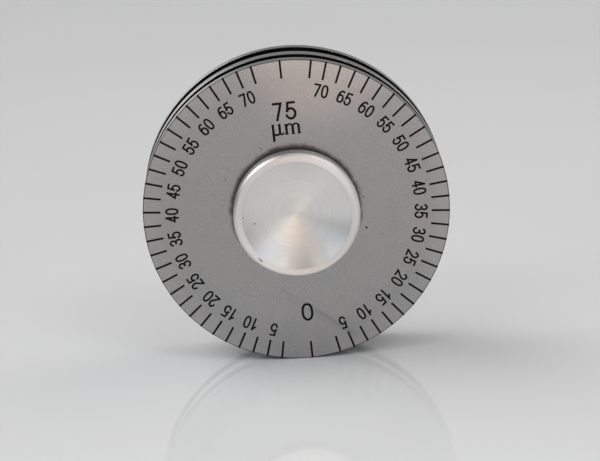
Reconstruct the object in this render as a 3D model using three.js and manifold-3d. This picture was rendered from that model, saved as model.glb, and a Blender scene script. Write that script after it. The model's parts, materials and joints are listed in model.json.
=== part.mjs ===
// Wheel gauge for wet film thickness, standing on its rim, in millimetres, +Z up.
// The wheel's axle runs along Y, the scale faces -Y, and the origin is the wheel's centre.
// Two concentric rails carry the wheel. The middle rim between them is lower by a clearance that
// grows from nothing at the 0 mark to its full value at the opposite mark, as the scale reads it.
// A pair of finger grips turns inside the wheel on two shielded ball bearings.

import * as THREE from 'three';
import { mergeVertices } from 'three/addons/utils/BufferGeometryUtils.js';
import Module from 'manifold-3d';

const wasm = await Module();
wasm.setup();

// Driving dimensions of the wheel
const wheel_diameter = 50;
const rail_width = 2;
const groove_width = 3.5;
const groove_depth = 3;
const middle_rim_width = 2.6;
const wheel_edge_chamfer = 0.2;
const full_clearance = 0.075;
const standing_roll = THREE.MathUtils.degToRad(3.2);

// The scale: one turn of the dividing head, with the neighbours of both end marks left out
const scale_divisions = 64;
const end_gap_divisions = 2;
const mark_length = 2.75;
const mark_width = 0.36;
const mark_depth = 0.15;
const scale_offset_x = -0.06;
const scale_offset_z = -0.1;
const scale_lag = THREE.MathUtils.degToRad(0.36);

// Ball bearings of the 8 x 16 x 5 series
const bearing_bore = 8;
const bearing_outside = 16;
const bearing_width = 5;
const bearing_corner = 0.2;
const bearing_inset = 0.3;
const ball_count = 9;
const ball_share = 0.595;
const race_play = 0.07;
const groove_rise_share = 0.38;
const shield_thickness = 0.25;
const shield_inset = 0.1;
const shield_gap = 0.14;
const shield_fit = 0.03;
const shield_step = 0.41;
const cage_gap_share = 0.16;
const cage_back = 0.35;
const cage_lip = 0.55;
const pocket_clearance = 0.1;

// Finger grips, and what joins them
const grip_diameter = 20.6;
const grip_proud = 3.5;
const grip_face_gap = 0.3;
const grip_chamfer = 0.4;
const grip_land = 0.95;
const grip_back_chamfer = 0.2;
const dish_depth = 1.7;
const dish_floor = 1;
const spigot_gap = 0.4;
const stud_diameter = 4;
const stud_end_gap = 1.4;
const stud_chamfer = 0.4;
const drill_point_share = 0.6;

// Fits
const seat_fit = 0.02;
const bore_fit = 0.03;
const thread_fit = 0.02;
const face_fit = 0.02;
const shoulder_lap = 1.4;
const cut_overrun = 1;

// Facets of the turned pieces
const wheel_facets = 96;
const grip_facets = 48;
const race_facets = 36;
const stud_facets = 24;
const pocket_facets = 16;
const ball_detail = 1;
const dish_steps = 5;
const raceway_steps = 6;

// Sizes worked out from the driving dimensions
const wheel_radius = wheel_diameter / 2;
const wheel_half_width = rail_width + groove_width + middle_rim_width / 2;
const middle_half_width = middle_rim_width / 2;
const groove_floor_radius = wheel_radius - groove_depth;
const race_section = (bearing_outside - bearing_bore) / 2;
const ball_radius = (race_section * ball_share) / 2;
const pitch_radius = (bearing_bore + bearing_outside) / 4;
const raceway_radius = ball_radius + race_play;
const groove_rise = ball_radius * groove_rise_share;
const inner_land_radius = pitch_radius - ball_radius + groove_rise;
const outer_land_radius = pitch_radius + ball_radius - groove_rise;
const shield_step_radius = outer_land_radius + shield_step;
const shield_step_depth = shield_inset + shield_thickness;
const bearing_centre = wheel_half_width - bearing_inset - bearing_width / 2;
const seat_floor = bearing_centre - bearing_width / 2 - face_fit;
const seat_radius = bearing_outside / 2 + seat_fit;
const shoulder_radius = seat_radius - shoulder_lap;
const spacer_radius = inner_land_radius;
const spacer_half_length = seat_floor;
const stud_half_length = wheel_half_width + grip_proud - dish_depth - dish_floor - stud_end_gap;

// Finishes
const finishes = {
  ground_steel: { color: 0x8f8c8a, metalness: 1, roughness: 0.42 },
  turned_aluminium: { color: 0xd6d3d0, metalness: 1, roughness: 0.3 },
  bearing_steel: { color: 0xa9adb2, metalness: 1, roughness: 0.18 },
  pressed_steel: { color: 0x9a9d9f, metalness: 1, roughness: 0.35 },
  zinc_plated_steel: { color: 0xb4b6b2, metalness: 1, roughness: 0.32 },
  moulded_nylon: { color: 0xd9d3bd, metalness: 0, roughness: 0.55 },
};

function piece(name, geometry, finish) {
  const mesh = new THREE.Mesh(geometry, new THREE.MeshStandardMaterial(finishes[finish]));
  mesh.name = name;
  return mesh;
}

// A solid turned about Y from a profile of [radius, y] pairs. A ring's profile comes back to its first
// point, and a solid one's starts and ends on the axis. Half a facet of turn puts a flat underneath.
function turned(profile, facets) {
  const points = profile.map(([radius, y]) => new THREE.Vector2(radius, y));
  const geometry = new THREE.LatheGeometry(points, facets, Math.PI / facets);
  geometry.deleteAttribute('normal');
  geometry.deleteAttribute('uv');
  return mergeVertices(geometry);
}

function turned_ring(profile, facets) {
  return turned([...profile, profile[0]], facets);
}

function to_solid(geometry) {
  const vertProperties = Float32Array.from(geometry.attributes.position.array);
  const triVerts = Uint32Array.from(geometry.index.array);
  return new wasm.Manifold(new wasm.Mesh({ numProp: 3, vertProperties, triVerts }));
}

function to_geometry(solid) {
  const mesh = solid.getMesh();
  const geometry = new THREE.BufferGeometry();
  geometry.setAttribute('position', new THREE.BufferAttribute(mesh.vertProperties, 3));
  geometry.setIndex(new THREE.BufferAttribute(mesh.triVerts, 1));
  return geometry;
}

function cutter(geometry, matrix) {
  geometry.deleteAttribute('normal');
  geometry.deleteAttribute('uv');
  return to_solid(mergeVertices(geometry).applyMatrix4(matrix));
}

// How far the middle rim lies below the rails at an angle from the 0 mark. It climbs evenly over the
// scale, and a parabola rounds the turn at each end mark.
function rim_clearance(angle) {
  const steps = scale_divisions / 2;
  const step_clearance = full_clearance / (steps - end_gap_divisions);
  const place = (Math.abs(angle) / Math.PI) * steps;
  const from_far_end = steps - place;
  if (place < end_gap_divisions) {
    return step_clearance * (place / end_gap_divisions) ** 2;
  }
  if (from_far_end < end_gap_divisions) {
    return full_clearance - step_clearance * (from_far_end / end_gap_divisions) ** 2;
  }
  return step_clearance * (place - end_gap_divisions / 2);
}

// Angle of a vertex from the 0 mark, which lies below the centre, turned by the standing roll.
function angle_from_zero_mark(x, z) {
  const zero_x = Math.sin(standing_roll);
  const zero_z = -Math.cos(standing_roll);
  return Math.acos(THREE.MathUtils.clamp((x * zero_x + z * zero_z) / Math.hypot(x, z), -1, 1));
}

function lower_middle_rim(geometry) {
  const position = geometry.attributes.position;
  for (let i = 0; i < position.count; i += 1) {
    const x = position.getX(i);
    const y = position.getY(i);
    const z = position.getZ(i);
    const radius = Math.hypot(x, z);
    const on_middle_rim = Math.abs(y) <= middle_half_width + face_fit;
    if (on_middle_rim && radius > (wheel_radius + groove_floor_radius) / 2) {
      const share = (radius - rim_clearance(angle_from_zero_mark(x, z))) / radius;
      position.setXYZ(i, x * share, y, z * share);
    }
  }
}

// Cutter for one mark on the front face, at a turn from straight up that runs anticlockwise as seen
// from the front. It starts mark_length inside the rim and runs out past it.
function scale_mark(turn) {
  const length = mark_length + cut_overrun;
  const middle = wheel_radius - mark_length + length / 2;
  const matrix = new THREE.Matrix4();
  matrix.makeTranslation(scale_offset_x, -wheel_half_width, scale_offset_z);
  matrix.multiply(new THREE.Matrix4().makeRotationY(-turn));
  matrix.multiply(new THREE.Matrix4().makeTranslation(0, 0, middle));
  return cutter(new THREE.BoxGeometry(mark_width, mark_depth * 2, length), matrix);
}

function scale_marks() {
  const marks = [];
  const half = scale_divisions / 2;
  for (let division = -half; division < half; division += 1) {
    const from_end = Math.min(Math.abs(division), half - Math.abs(division));
    const end_mark = from_end === 0;
    if (end_mark || from_end >= end_gap_divisions) {
      const lag = end_mark ? 0 : scale_lag;
      const turn = (division / scale_divisions) * 2 * Math.PI + standing_roll - lag;
      marks.push(scale_mark(turn));
    }
  }
  return marks;
}

function gauge_wheel() {
  const rail_inner = wheel_half_width - rail_width;
  const bevel_radius = wheel_radius - wheel_edge_chamfer;
  const bevel_y = wheel_half_width - wheel_edge_chamfer;
  const one_side = [
    [wheel_radius, middle_half_width],
    [groove_floor_radius, middle_half_width],
    [groove_floor_radius, rail_inner],
    [wheel_radius, rail_inner],
    [wheel_radius, bevel_y],
    [bevel_radius, wheel_half_width],
    [seat_radius + bearing_corner, wheel_half_width],
    [seat_radius, wheel_half_width - bearing_corner],
    [seat_radius, seat_floor],
    [shoulder_radius, seat_floor],
  ];
  const other_side = one_side.map(([radius, y]) => [radius, -y]).reverse();
  const body = turned_ring([...one_side, ...other_side], wheel_facets);
  lower_middle_rim(body);
  let solid = to_solid(body);
  for (const mark of scale_marks()) {
    solid = solid.subtract(mark);
  }
  return piece('gauge_wheel', to_geometry(solid), 'ground_steel');
}

// Grip for the rear side, from the tip of its spigot out to its dished face.
function grip(name) {
  const radius = grip_diameter / 2;
  const back = wheel_half_width + grip_face_gap;
  const land = wheel_half_width + grip_proud;
  const spigot_radius = bearing_bore / 2 - bore_fit;
  const boss_end = bearing_centre + bearing_width / 2 + face_fit;
  const hole_radius = stud_diameter / 2 + thread_fit;
  const hole_end = land - dish_depth - dish_floor;
  const dish_radius = radius - grip_chamfer - grip_land;
  const dish_ball = (dish_radius ** 2 + dish_depth ** 2) / (2 * dish_depth);
  const dish_centre = land - dish_depth + dish_ball;
  const dish_half_angle = Math.asin(dish_radius / dish_ball);
  const profile = [
    [0, hole_end],
    [hole_radius, hole_end - hole_radius * drill_point_share],
    [hole_radius, spigot_gap],
    [spigot_radius, spigot_gap],
    [spigot_radius, boss_end],
    [inner_land_radius, boss_end],
    [inner_land_radius, back],
    [radius - grip_back_chamfer, back],
    [radius, back + grip_back_chamfer],
    [radius, land - grip_chamfer],
    [radius - grip_chamfer, land],
  ];
  for (let step = dish_steps; step >= 0; step -= 1) {
    const angle = (dish_half_angle * step) / dish_steps;
    profile.push([dish_ball * Math.sin(angle), dish_centre - dish_ball * Math.cos(angle)]);
  }
  return piece(name, turned(profile, grip_facets), 'turned_aluminium');
}

function tie_stud() {
  const radius = stud_diameter / 2;
  const profile = [
    [0, -stud_half_length],
    [radius - stud_chamfer, -stud_half_length],
    [radius, -stud_half_length + stud_chamfer],
    [radius, stud_half_length - stud_chamfer],
    [radius - stud_chamfer, stud_half_length],
    [0, stud_half_length],
  ];
  return piece('tie_stud', turned(profile, stud_facets), 'zinc_plated_steel');
}

// A plain ring between two radii and two places along the axle.
function sleeve(outer_radius, inner_radius, start, end) {
  return turned_ring([
    [outer_radius, start],
    [outer_radius, end],
    [inner_radius, end],
    [inner_radius, start],
  ], race_facets);
}

function inner_spacer() {
  const bore = bearing_bore / 2 + bore_fit;
  const geometry = sleeve(spacer_radius, bore, -spacer_half_length, spacer_half_length);
  return piece('inner_spacer', geometry, 'zinc_plated_steel');
}

// Points of a raceway groove, from one land to the other. The side is 1 for the groove of an outer
// race, which runs down the axle, and -1 for that of an inner race, which runs up it.
function raceway(side, land_radius) {
  const land_angle = Math.acos(Math.abs(land_radius - pitch_radius) / raceway_radius);
  const points = [];
  for (let step = 0; step <= raceway_steps; step += 1) {
    const angle = land_angle * (1 - (2 * step) / raceway_steps);
    const radius = pitch_radius + side * raceway_radius * Math.cos(angle);
    points.push([radius, side * raceway_radius * Math.sin(angle)]);
  }
  return points;
}

// A race is the same on both sides of its raceway, so one side is mirrored to make the other.
function race(name, one_side, groove) {
  const other_side = one_side.map(([radius, y]) => [radius, -y]).reverse();
  const geometry = turned_ring([...one_side, ...groove, ...other_side], race_facets);
  return piece(name, geometry, 'bearing_steel');
}

function outer_race(name) {
  const radius = bearing_outside / 2;
  const half = bearing_width / 2;
  const one_side = [
    [radius, half - bearing_corner],
    [radius - bearing_corner, half],
    [shield_step_radius, half],
    [shield_step_radius, half - shield_step_depth],
    [outer_land_radius, half - shield_step_depth],
  ];
  return race(name, one_side, raceway(1, outer_land_radius));
}

function inner_race(name) {
  const radius = bearing_bore / 2;
  const half = bearing_width / 2;
  const one_side = [
    [radius, -half + bearing_corner],
    [radius + bearing_corner, -half],
    [inner_land_radius, -half],
  ];
  return race(name, one_side, raceway(-1, inner_land_radius));
}

// Angle of a ball round the axle, shared by the balls and the pockets of their cage.
function ball_turn(index) {
  return (index / ball_count) * 2 * Math.PI;
}

// A crown cage: a ring with a solid back, whose pockets open at the lip and snap over the balls.
function crown_cage(name) {
  const pocket_radius = ball_radius + pocket_clearance;
  const land_gap = ball_radius * cage_gap_share;
  const outer_radius = outer_land_radius - land_gap;
  const inner_radius = inner_land_radius + land_gap;
  let solid = to_solid(sleeve(outer_radius, inner_radius, -pocket_radius - cage_back, cage_lip));
  for (let index = 0; index < ball_count; index += 1) {
    const matrix = new THREE.Matrix4().makeRotationY(ball_turn(index));
    matrix.multiply(new THREE.Matrix4().makeTranslation(0, 0, pitch_radius));
    matrix.multiply(new THREE.Matrix4().makeRotationX(Math.PI / 2));
    const length = outer_radius - inner_radius + cut_overrun;
    const drill = new THREE.CylinderGeometry(pocket_radius, pocket_radius, length, pocket_facets);
    solid = solid.subtract(cutter(drill, matrix));
  }
  return piece(name, to_geometry(solid), 'moulded_nylon');
}

function shield(name, side) {
  const outer_face = bearing_width / 2 - shield_inset;
  const outer_radius = shield_step_radius - shield_fit;
  const inner_radius = inner_land_radius + shield_gap;
  const geometry = sleeve(outer_radius, inner_radius, outer_face - shield_thickness, outer_face);
  const mesh = piece(name, geometry, 'pressed_steel');
  mesh.rotation.z = side > 0 ? 0 : Math.PI;
  return mesh;
}

function ball(name, index) {
  const geometry = new THREE.IcosahedronGeometry(ball_radius, ball_detail);
  geometry.deleteAttribute('normal');
  geometry.deleteAttribute('uv');
  const mesh = piece(name, mergeVertices(geometry), 'bearing_steel');
  const turn = ball_turn(index);
  mesh.position.set(pitch_radius * Math.sin(turn), 0, pitch_radius * Math.cos(turn));
  return mesh;
}

// A shielded ball bearing about the origin, with its outboard side towards +Y.
function ball_bearing(side_name) {
  const bearing = new THREE.Group();
  bearing.add(outer_race(`${side_name}_outer_race`));
  bearing.add(inner_race(`${side_name}_inner_race`));
  bearing.add(crown_cage(`${side_name}_cage`));
  bearing.add(shield(`${side_name}_outboard_shield`, 1));
  bearing.add(shield(`${side_name}_inboard_shield`, -1));
  for (let index = 0; index < ball_count; index += 1) {
    bearing.add(ball(`${side_name}_ball_${index + 1}`, index));
  }
  return bearing;
}

// What lies on one side of the wheel: a bearing in its seat, and the grip that turns in it.
function wheel_side(side_name) {
  const side = new THREE.Group();
  const bearing = ball_bearing(side_name);
  bearing.position.y = bearing_centre;
  side.add(bearing);
  side.add(grip(`${side_name}_grip`));
  return side;
}

const rear_side = wheel_side('rear');
const front_side = wheel_side('front');
front_side.rotation.z = Math.PI;

const gauge = new THREE.Group();
gauge.add(gauge_wheel());
gauge.add(front_side);
gauge.add(rear_side);
gauge.add(tie_stud());
gauge.add(inner_spacer());

export default gauge;
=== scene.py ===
# Looks of a wheel gauge for wet paint film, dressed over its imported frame, in metres.
# The axle runs along Y, the scale faces -Y, and the origin is the wheel's centre.

import json
import math

import bmesh
import bpy
from bpy.props import FloatProperty, FloatVectorProperty, IntProperty, PointerProperty
from bpy.types import Operator, Panel, PropertyGroup
from mathutils import Matrix, Vector


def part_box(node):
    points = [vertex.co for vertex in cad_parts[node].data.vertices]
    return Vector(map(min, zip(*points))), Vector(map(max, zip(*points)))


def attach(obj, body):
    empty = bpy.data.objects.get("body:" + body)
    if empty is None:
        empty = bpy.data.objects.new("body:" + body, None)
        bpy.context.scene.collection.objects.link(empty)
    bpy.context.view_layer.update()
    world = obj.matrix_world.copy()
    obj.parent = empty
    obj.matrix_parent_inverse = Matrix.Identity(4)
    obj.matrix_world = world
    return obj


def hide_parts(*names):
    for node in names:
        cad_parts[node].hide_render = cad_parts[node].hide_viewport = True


bl_info = {
    "name": "Wheel gauge for wet paint film",
    "version": (1, 0, 0),
    "blender": (4, 5, 0),
    "location": "3D View > Sidebar > Wheel gauge",
    "description": "Makes the engraved wheel, the turned grips, the bearings' finishes and a studio",
    "category": "Object",
}

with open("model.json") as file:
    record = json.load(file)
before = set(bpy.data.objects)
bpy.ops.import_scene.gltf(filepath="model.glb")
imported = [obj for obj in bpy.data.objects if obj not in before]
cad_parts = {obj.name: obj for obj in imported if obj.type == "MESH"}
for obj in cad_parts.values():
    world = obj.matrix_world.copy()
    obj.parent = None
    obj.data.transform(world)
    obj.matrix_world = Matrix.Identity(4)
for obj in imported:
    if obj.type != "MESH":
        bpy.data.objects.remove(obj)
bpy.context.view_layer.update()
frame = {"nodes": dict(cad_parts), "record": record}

MM = 0.001
FULL_TURN = 2 * math.pi

# Places and sizes that the frame gives
wheel_low, wheel_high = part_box("gauge_wheel")
grip_low, grip_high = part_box("rear_grip")
WHEEL_RADIUS = (wheel_high.z - wheel_low.z) / 2
WHEEL_HALF_WIDTH = wheel_high.y
FLOOR_HEIGHT = wheel_low.z
GRIP_INNER_END = grip_low.y
GRIP_OUTER_END = grip_high.y


def linear(code):
    """An sRGB hex colour as three linear numbers."""
    values = []
    for start in (1, 3, 5):
        value = int(code[start:start + 2], 16) / 255
        values.append(value / 12.92 if value <= 0.04045 else ((value + 0.055) / 1.055) ** 2.4)
    return tuple(values)


# Settings that a user would change

def size(name, description, millimetres):
    return FloatProperty(name=name, description=description, default=millimetres * MM,
                         min=0, unit="LENGTH", precision=5)


def colour(name, description, code):
    return FloatVectorProperty(name=name, description=description, default=linear(code),
                               min=0, max=1, subtype="COLOR")


def angle(name, description, degrees):
    return FloatProperty(name=name, description=description, default=math.radians(degrees),
                         subtype="ANGLE")


class GaugeWheelSizes(PropertyGroup):
    rail_width: size("Rail width", "Width of each outer rim", 2)
    groove_width: size("Groove width", "Width of each groove", 3.5)
    groove_depth: size("Groove depth", "Depth of both grooves", 3)
    full_clearance: size("Full clearance", "Drop of the middle rim at the 75 mark", 0.075)
    edge_round: size("Edge round", "Rounding between face and rail", 0.16)
    rim_break: size("Rim break", "Rounding of the rims' other edges", 0.06)
    floor_round: size("Floor round", "Rounding of the groove floors' corners", 0.25)
    bore_radius: size("Bearing seat radius", "Radius of the two bearing seats", 8.02)
    seat_depth: size("Bearing seat depth", "Depth of a seat from the wheel's face", 5.32)
    shoulder_radius: size("Shoulder radius", "Radius between the bearings", 6.62)
    seat_lead: size("Seat lead", "Chamfer at the mouth of a seat", 0.2)
    standing_roll: angle("Standing roll", "Roll of the wheel from 75 uppermost", 3.2)
    facets: IntProperty(name="Facets", description="Facets round the wheel", default=512, min=64)


class GaugeScaleSizes(PropertyGroup):
    mark_length: size("Mark length", "Length of a mark in from the rim", 2.75)
    mark_width: size("Mark width", "Width of a scale mark", 0.34)
    cut_depth: size("Cut depth", "Depth of marks and numerals", 0.15)
    paint_recess: size("Paint recess", "Depth of the filler below the face", 0.03)
    figure_height: size("Figure height", "Height of the numerals at the marks", 2.2)
    figure_width: size("Figure width", "Width of one numeral at the marks", 1.17)
    figure_pitch: size("Figure pitch", "Distance between two numerals", 1.27)
    figure_stroke: size("Figure stroke", "Stroke of the numerals at the marks", 0.32)
    figure_ring: size("Figure ring radius", "Radius of the ring of numbers", 20.28)
    end_figure_height: size("End figure height", "Height of the 75 and the 0", 3.03)
    end_figure_stroke: size("End figure stroke", "Stroke of the 75 and the 0", 0.4)


class GaugeGripSizes(PropertyGroup):
    diameter: size("Grip diameter", "Diameter of a finger grip", 20.6)
    chamfer: size("Chamfer", "Chamfer round the grip's outer edge", 0.4)
    land: size("Land width", "Width of the flat ring round the dish", 0.95)
    dish_depth: size("Dish depth", "Depth of the turned dish", 1.7)
    face_gap: size("Face gap", "Gap between grip and wheel", 0.3)
    edge_break: size("Edge break", "Rounding of the grip's edges", 0.05)
    back_chamfer: size("Back chamfer", "Chamfer round the grip's back edge", 0.2)
    boss_radius: size("Boss radius", "Radius of the boss at the inner race", 5.262)
    spigot_radius: size("Spigot radius", "Radius of the part in the inner race", 3.97)
    thread_radius: size("Thread radius", "Radius of the hole for the stud", 2.02)
    facets: IntProperty(name="Facets", description="Facets round a grip", default=288, min=48)


class GaugeFinishes(PropertyGroup):
    steel: colour("Ground steel", "Stainless steel of the wheel", "#A5A4A4")
    steel_dark: colour("Steel mottle", "Darker cloud in the ground steel", "#979798")
    aluminium: colour("Turned aluminium", "Bright aluminium of the grips", "#E5E3E0")
    filler: colour("Scale filler", "Black lacquer in the marks and numerals", "#0C0A09")
    blacking: colour("Groove blacking", "Black finish in the two grooves", "#050505")
    # Colour of the painted shade on the face round the grip
    grime: colour("Grime", "Dried paint dust round the grip", "#2A2523")


class GaugeStudio(PropertyGroup):
    floor: colour("Floor", "Pale table under the gauge", "#D6D6D7")
    room: colour("Room", "Room behind windows and pale walls", "#949393")
    lamp_level: FloatProperty(name="Lamp level", description="Share of the softboxes' full power",
                              default=1, min=0, subtype="FACTOR")


# Meshes of turned pieces

def new_object(name, data):
    thing = bpy.data.objects.new(name, data)
    bpy.context.scene.collection.objects.link(thing)
    return thing


def mesh_of(name, shape):
    """The mesh of a finished bmesh shape."""
    mesh = bpy.data.meshes.new(name)
    shape.to_mesh(mesh)
    shape.free()
    return mesh


def rounded(corners, steps=4):
    """An outline of (radius, y) pairs from corners of (radius, y, rounding)."""
    outline = []
    count = len(corners)
    for index, (radius, y, rounding) in enumerate(corners):
        corner = Vector((radius, y))
        if not rounding:
            outline.append(corner)
            continue
        to_before = (Vector(corners[index - 1][:2]) - corner).normalized()
        to_after = (Vector(corners[(index + 1) % count][:2]) - corner).normalized()
        half = to_before.angle(to_after) / 2
        middle = corner + (to_before + to_after).normalized() * rounding / math.sin(half)
        first = corner + to_before * rounding / math.tan(half) - middle
        last = corner + to_after * rounding / math.tan(half) - middle
        turn = first.angle_signed(last)
        for step in range(steps + 1):
            outline.append(middle + Matrix.Rotation(-turn * step / steps, 2) @ first)
    return outline


def turned(name, outline, facets, closed):
    """A mesh turned about the axle. A closed outline makes a ring, and another one meets the axis."""
    shape = bmesh.new()
    rings = []
    turns = [FULL_TURN * step / facets for step in range(facets)]
    for radius, y in outline:
        places = [(0, y, 0)]
        if radius > 0:
            places = [(radius * math.sin(turn), y, radius * math.cos(turn)) for turn in turns]
        rings.append([shape.verts.new(place) for place in places])
    pairs = list(zip(rings, rings[1:]))
    if closed:
        pairs.append((rings[-1], rings[0]))
    for one, other in pairs:
        for step in range(facets):
            after = (step + 1) % facets
            corners = [one[step % len(one)], one[after % len(one)],
                       other[after % len(other)], other[step % len(other)]]
            unique = [v for place, v in enumerate(corners) if v not in corners[:place]]
            shape.faces.new(unique)
    bmesh.ops.recalc_face_normals(shape, faces=shape.faces)
    return mesh_of(name, shape)


def boolean(mesh, tool_mesh, operation, solver):
    """The mesh with another one cut away or joined. It is done a thousand times larger."""
    up = Matrix.Scale(1 / MM, 4)
    down = Matrix.Scale(MM, 4)
    mesh.transform(up)
    tool_mesh.transform(up)
    body = new_object("cutting_body", mesh)
    tool = new_object("cutting_tool", tool_mesh)
    cut = body.modifiers.new("cut", "BOOLEAN")
    cut.object = tool
    cut.operation = operation
    cut.solver = solver
    bpy.context.view_layer.update()
    evaluated = body.evaluated_get(bpy.context.evaluated_depsgraph_get())
    result = bpy.data.meshes.new_from_object(evaluated)
    bpy.data.objects.remove(body)
    bpy.data.objects.remove(tool)
    result.materials.clear()
    result.transform(down)
    tool_mesh.transform(down)
    return result


def finish_shading(thing, sharp_degrees=28):
    """Smooth shading with crisp corners, in which the larger face at an edge stays flat."""
    thing.data.shade_smooth()
    thing.data.set_sharp_from_angle(angle=math.radians(sharp_degrees))
    even = thing.modifiers.new("flat faces stay flat", "WEIGHTED_NORMAL")
    even.mode = "FACE_AREA"
    even.keep_sharp = True


# Strokes of the numerals

def bow(centre_x, centre_y, reach_x, reach_y, start, end, steps=14):
    """Points of an elliptical bow between two angles in degrees, anticlockwise from the right."""
    points = []
    for step in range(steps + 1):
        turn = math.radians(start + (end - start) * step / steps)
        points.append((centre_x + reach_x * math.cos(turn), centre_y + reach_y * math.sin(turn)))
    return points


def oval(centre_x, centre_y, reach_x, reach_y, squareness, steps=36):
    """A closed line, a little squarer than an ellipse when squareness is under 1."""
    points = []
    for step in range(steps):
        turn = FULL_TURN * step / steps
        across, along = math.cos(turn), math.sin(turn)
        points.append((centre_x + reach_x * math.copysign(abs(across) ** squareness, across),
                       centre_y + reach_y * math.copysign(abs(along) ** squareness, along)))
    return tuple(points)


# Centre lines, in shares of the box that they fill. A tuple is a closed line
FIGURES = {
    "0": [oval(0.5, 0.5, 0.5, 0.5, 0.86)],
    "1": [[(0.66, 0), (0.66, 1)], [(0.2, 0.72), (0.6, 0.9)]],
    "2": [bow(0.49, 0.7, 0.47, 0.3, 168, -28) + [(0.03, 0.02)], [(0, 0), (1, 0)]],
    "3": [bow(0.46, 0.755, 0.44, 0.245, 158, -82), bow(0.46, 0.265, 0.52, 0.265, 82, -160),
          [(0.36, 0.515), (0.56, 0.515)]],
    "4": [[(0.7, 0.98), (0.03, 0.27), (1, 0.27)], [(0.74, 0), (0.74, 1)]],
    "5": [[(0.92, 1), (0.17, 1), (0.07, 0.5)], bow(0.46, 0.32, 0.52, 0.32, 146, -160)],
    "6": [oval(0.5, 0.31, 0.5, 0.31, 0.94), [(0, 0.3)] + bow(0.62, 0.44, 0.62, 0.55, 180, 68)],
    "7": [[(0, 1), (0.98, 1), (0.36, 0)]],
}


# Bends whose cosine is under this keep their corners short
MITRE_LIMIT = 0.35


def stroke_sides(points, width, closed):
    """The two sides of a stroke along a centre line. An open stroke has square ends."""
    line = [Vector(point) for point in points]
    count = len(line)
    if not closed:
        line[0] = line[0] + (line[0] - line[1]).normalized() * width / 2
        line[-1] = line[-1] + (line[-1] - line[-2]).normalized() * width / 2
    left, right = [], []
    for index, point in enumerate(line):
        before = line[index - 1] if index or closed else None
        after = line[(index + 1) % count] if index < count - 1 or closed else None
        into = (point - before).normalized() if before is not None else (after - point).normalized()
        out = (after - point).normalized() if after is not None else into
        normal = Vector((-(into + out).y, (into + out).x)).normalized()
        half = width / 2 / max(normal.dot(Vector((-into.y, into.x))), MITRE_LIMIT)
        left.append(point + normal * half)
        right.append(point - normal * half)
    return left, right


def stroke_prism(points, width, closed):
    """A closed prism over one stroke, from depth 0 to depth 1 along Y."""
    left, right = stroke_sides(points, width, closed)
    shape = bmesh.new()
    rows = [[shape.verts.new((p.x, depth, p.y)) for p in side]
            for side in (left, right) for depth in (0, 1)]
    left_top, left_floor, right_top, right_floor = rows
    count = len(left)
    for index in range(count if closed else count - 1):
        after = (index + 1) % count
        for one, other in ((left_top, right_top), (right_top, right_floor),
                           (right_floor, left_floor), (left_floor, left_top)):
            shape.faces.new((one[index], one[after], other[after], other[index]))
    if not closed:
        for end in (0, -1):
            shape.faces.new((left_top[end], right_top[end], right_floor[end], left_floor[end]))
    bmesh.ops.recalc_face_normals(shape, faces=shape.faces)
    return mesh_of("stroke", shape)


def united(strokes):
    """One mesh from strokes given as (points, width, closed), with points in metres."""
    whole = None
    for points, width, closed in strokes:
        prism = stroke_prism(points, width, closed)
        whole = prism if whole is None else boolean(whole, prism, "UNION", "EXACT")
    return whole


def figure(symbol, width, height, stroke):
    """The mesh of one numeral, centred on its middle."""
    strokes = []
    for points in FIGURES[symbol]:
        placed = [((x - 0.5) * (width - stroke), (y - 0.5) * (height - stroke)) for x, y in points]
        strokes.append((placed, stroke, isinstance(points, tuple)))
    return united(strokes)


def micrometre_sign():
    """The unit below the 75, in a plain serif hand, as strokes drawn in millimetres."""
    stem, curve, arch, hair, serif = 0.4, 0.34, 0.29, 0.27, 0.2
    base, top, tail = 12.77, 14.45, 11.98
    strokes = [
        ([(-2.3, tail), (-2.3, top)], stem),
        ([(-1.24, base + 0.2), (-1.24, top)], stem),
        (bow(-1.78, base + 0.42, 0.5, 0.36, 190, 350, 8), curve),
        ([(-1.2, base + 0.16), (-0.95, base + 0.06), (-0.66, base + 0.24)], hair),
    ]
    for x in (-0.16, 0.87, 1.85):
        strokes += [([(x, base + 0.2), (x, top - 0.35)], stem),
                    ([(x - 0.2, base + 0.05), (x + 0.2, base + 0.05)], serif)]
    strokes += [
        ([(-0.34, top - 0.06), (-0.16, top - 0.06)], serif),
        ([(-0.16, top - 0.3), (-0.16, top - 0.17)], stem),
        (bow(0.42, top - 0.42, 0.45, 0.4, 150, 8, 8), arch),
        (bow(1.41, top - 0.42, 0.44, 0.4, 150, 8, 8), arch),
    ]
    return [([(x * MM, z * MM) for x, z in points], width * MM, False) for points, width in strokes]


# Layout of the scale

DIVISIONS = 64
END_GAP_DIVISIONS = 2
READING_STEP = 5
MARKS_PER_NUMBER = 2
FULL_READING = 75
# The scale's centre lies off the axle and its marks lag, as measured in the photo
SCALE_OFFSET = Vector((-0.06 * MM, -0.1 * MM))
SCALE_LAG = math.radians(0.36)
NUMBER_RING_CENTRE = Vector((0, -0.12 * MM))
# Numbers drift from their marks: most near the 0 on the right, at mid scale on the left
RIGHT_DRIFT = math.radians(0.7)
LEFT_DRIFT = math.radians(1.35)
# The numerals of the 75 and the 0: width, and place across and up on the face, in millimetres
END_FIGURES = {"7": (1.63, -1.265, 16.62), "5": (1.78, 0.89, 16.62), "0": (1.94, -0.07, -17.16)}
# Corrosion pits in the front face: place across and up and diameter, in millimetres
PITS = ((11.02, -4.07, 0.52), (11.06, 1.14, 0.32), (-10.25, 7.84, 0.24), (13.67, -5.39, 0.2),
        (-4.6, 10.9, 0.3), (-6.4, -9.1, 0.24), (-10.9, 6.5, 0.26))
# A pit is a cone half above the face. Its ends and its stain are shares of the diameter
PIT_FLOOR, PIT_MOUTH, PIT_STAIN = 0.12, 0.6, 0.7
PIT_HEIGHT = 0.24 * MM
PIT_SIDES = 9


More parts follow.
